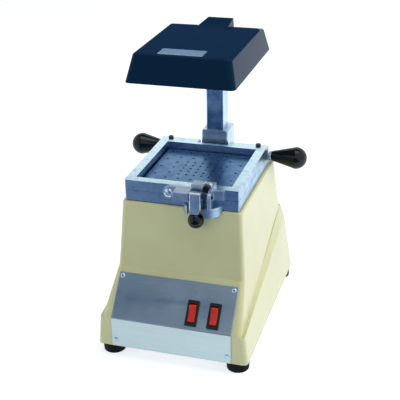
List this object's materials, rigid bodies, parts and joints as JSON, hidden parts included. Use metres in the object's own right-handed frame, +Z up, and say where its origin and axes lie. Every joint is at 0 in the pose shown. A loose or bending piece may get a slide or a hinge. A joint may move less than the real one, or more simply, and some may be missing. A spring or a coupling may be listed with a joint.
{
  "type": "dental vacuum former",
  "caption": "Benchtop dental vacuum former: cream housing, perforated platform, hinged clamping frames on a post and a swinging black heater head.",
  "frame": {"origin": "middle of the machine's footprint, on the surface that the rubber feet stand on", "axes": "+X to the operator's right, +Y to the back where the post stands, +Z up along the post"},
  "size_m": [0.2366, 0.2687, 0.3674],
  "materials": {
    "cream_enamel": "gloss baked enamel, slightly textured",
    "brushed_aluminium": "brushed",
    "satin_aluminium": "satin, fine machining marks",
    "bright_steel": "polished",
    "zinc_steel": "zinc plated",
    "spring_steel": "blued",
    "black_steel": "black oxide",
    "black_enamel": "satin black enamel",
    "black_knob_plastic": "gloss phenolic",
    "black_switch_plastic": "satin",
    "red_rocker_plastic": "gloss, translucent",
    "black_rubber": "matte",
    "red_seal_rubber": "matte grey",
    "motor_shell": "satin grey",
    "reflector_steel": "bright",
    "sheathed_element": "heat-darkened alloy sheath",
    "white_ceramic": "unglazed ceramic",
    "lead_insulation": "heat-resistant sleeve",
    "blank_plate_foil": "satin"
  },
  "bodies": {
    "base": {"base_gasket": "red_seal_rubber", "base_plate": "zinc_steel", "base_screws": "zinc_steel", "cord_gland": "black_switch_plastic", "fan_case": "motor_shell", "fan_impeller": "satin_aluminium", "feet": "black_rubber", "foot_screws": "zinc_steel", "front_panel": "brushed_aluminium", "heater_lead": "lead_insulation", "heater_switch_body": "black_switch_plastic", "housing": "cream_enamel", "motor_bolts": "zinc_steel", "motor_gasket": "red_seal_rubber", "panel_screws": "bright_steel", "platform_screws": "zinc_steel", "post": "bright_steel", "post_bolts": "zinc_steel", "post_cap": "zinc_steel", "post_socket": "zinc_steel", "swivel_washer": "spring_steel", "vacuum_motor": "motor_shell", "vacuum_platform": "satin_aluminium", "vacuum_switch_body": "black_switch_plastic"},
    "carriage": {"slide_collar": "satin_aluminium", "friction_screw": "zinc_steel", "handle_rod_left": "bright_steel", "handle_rod_right": "bright_steel", "handle_ferrule_left": "bright_steel", "handle_ferrule_right": "bright_steel", "handle_left": "black_knob_plastic", "handle_right": "black_knob_plastic", "lower_frame": "satin_aluminium", "frame_seal": "red_seal_rubber", "frame_bolts": "zinc_steel", "hinge_lugs": "zinc_steel", "hinge_pins": "zinc_steel", "clamp_keeper": "satin_aluminium", "keeper_screws": "zinc_steel"},
    "upper_frame_body": {"upper_frame": "satin_aluminium", "level_screws": "black_steel", "clamp_bracket": "satin_aluminium", "slotted_screw": "bright_steel", "cap_screw": "black_steel", "clamp_pin": "zinc_steel"},
    "clamp_body": {"clamp_lever": "satin_aluminium", "ball_knob": "black_knob_plastic"},
    "heater_head": {"heater_cover": "black_enamel", "head_bracket": "zinc_steel", "retaining_ring": "spring_steel", "head_studs": "zinc_steel", "head_nuts": "zinc_steel", "heater_reflector": "reflector_steel", "heating_element": "sheathed_element", "element_insulators": "white_ceramic", "heater_guard": "zinc_steel", "blank_plate": "blank_plate_foil"},
    "vacuum_rocker": {"vacuum_switch_rocker": "red_rocker_plastic"},
    "heater_rocker": {"heater_switch_rocker": "red_rocker_plastic"}
  },
  "joints": [
    {"name": "carriage_lift", "type": "slide", "parent": "base", "child": "carriage", "axis": [0, 0, 1], "range_m": [0, 0.085]},
    {"name": "upper_frame_hinge", "type": "hinge", "parent": "carriage", "child": "upper_frame_body", "pos_m": [0, 0.0674, 0.20535], "axis": [-1, 0, 0], "range_deg": [0, 45]},
    {"name": "clamp_lever_hinge", "type": "hinge", "parent": "upper_frame_body", "child": "clamp_body", "pos_m": [0.022, -0.0905, 0.207], "axis": [-1, 0, 0], "range_deg": [0, 100]},
    {"name": "heater_swing", "type": "hinge", "parent": "base", "child": "heater_head", "pos_m": [0, 0.0805, 0.3311], "axis": [0, 0, 1], "range_deg": [0, 180]},
    {"name": "vacuum_switch_tilt", "type": "hinge", "parent": "base", "child": "vacuum_rocker", "pos_m": [0.0243, -0.11748, 0.06642], "axis": [-1, 0, 0], "range_deg": [0, 18]},
    {"name": "heater_switch_tilt", "type": "hinge", "parent": "base", "child": "heater_rocker", "pos_m": [0.051, -0.11748, 0.06642], "axis": [-1, 0, 0], "range_deg": [0, 18]}
  ]
}
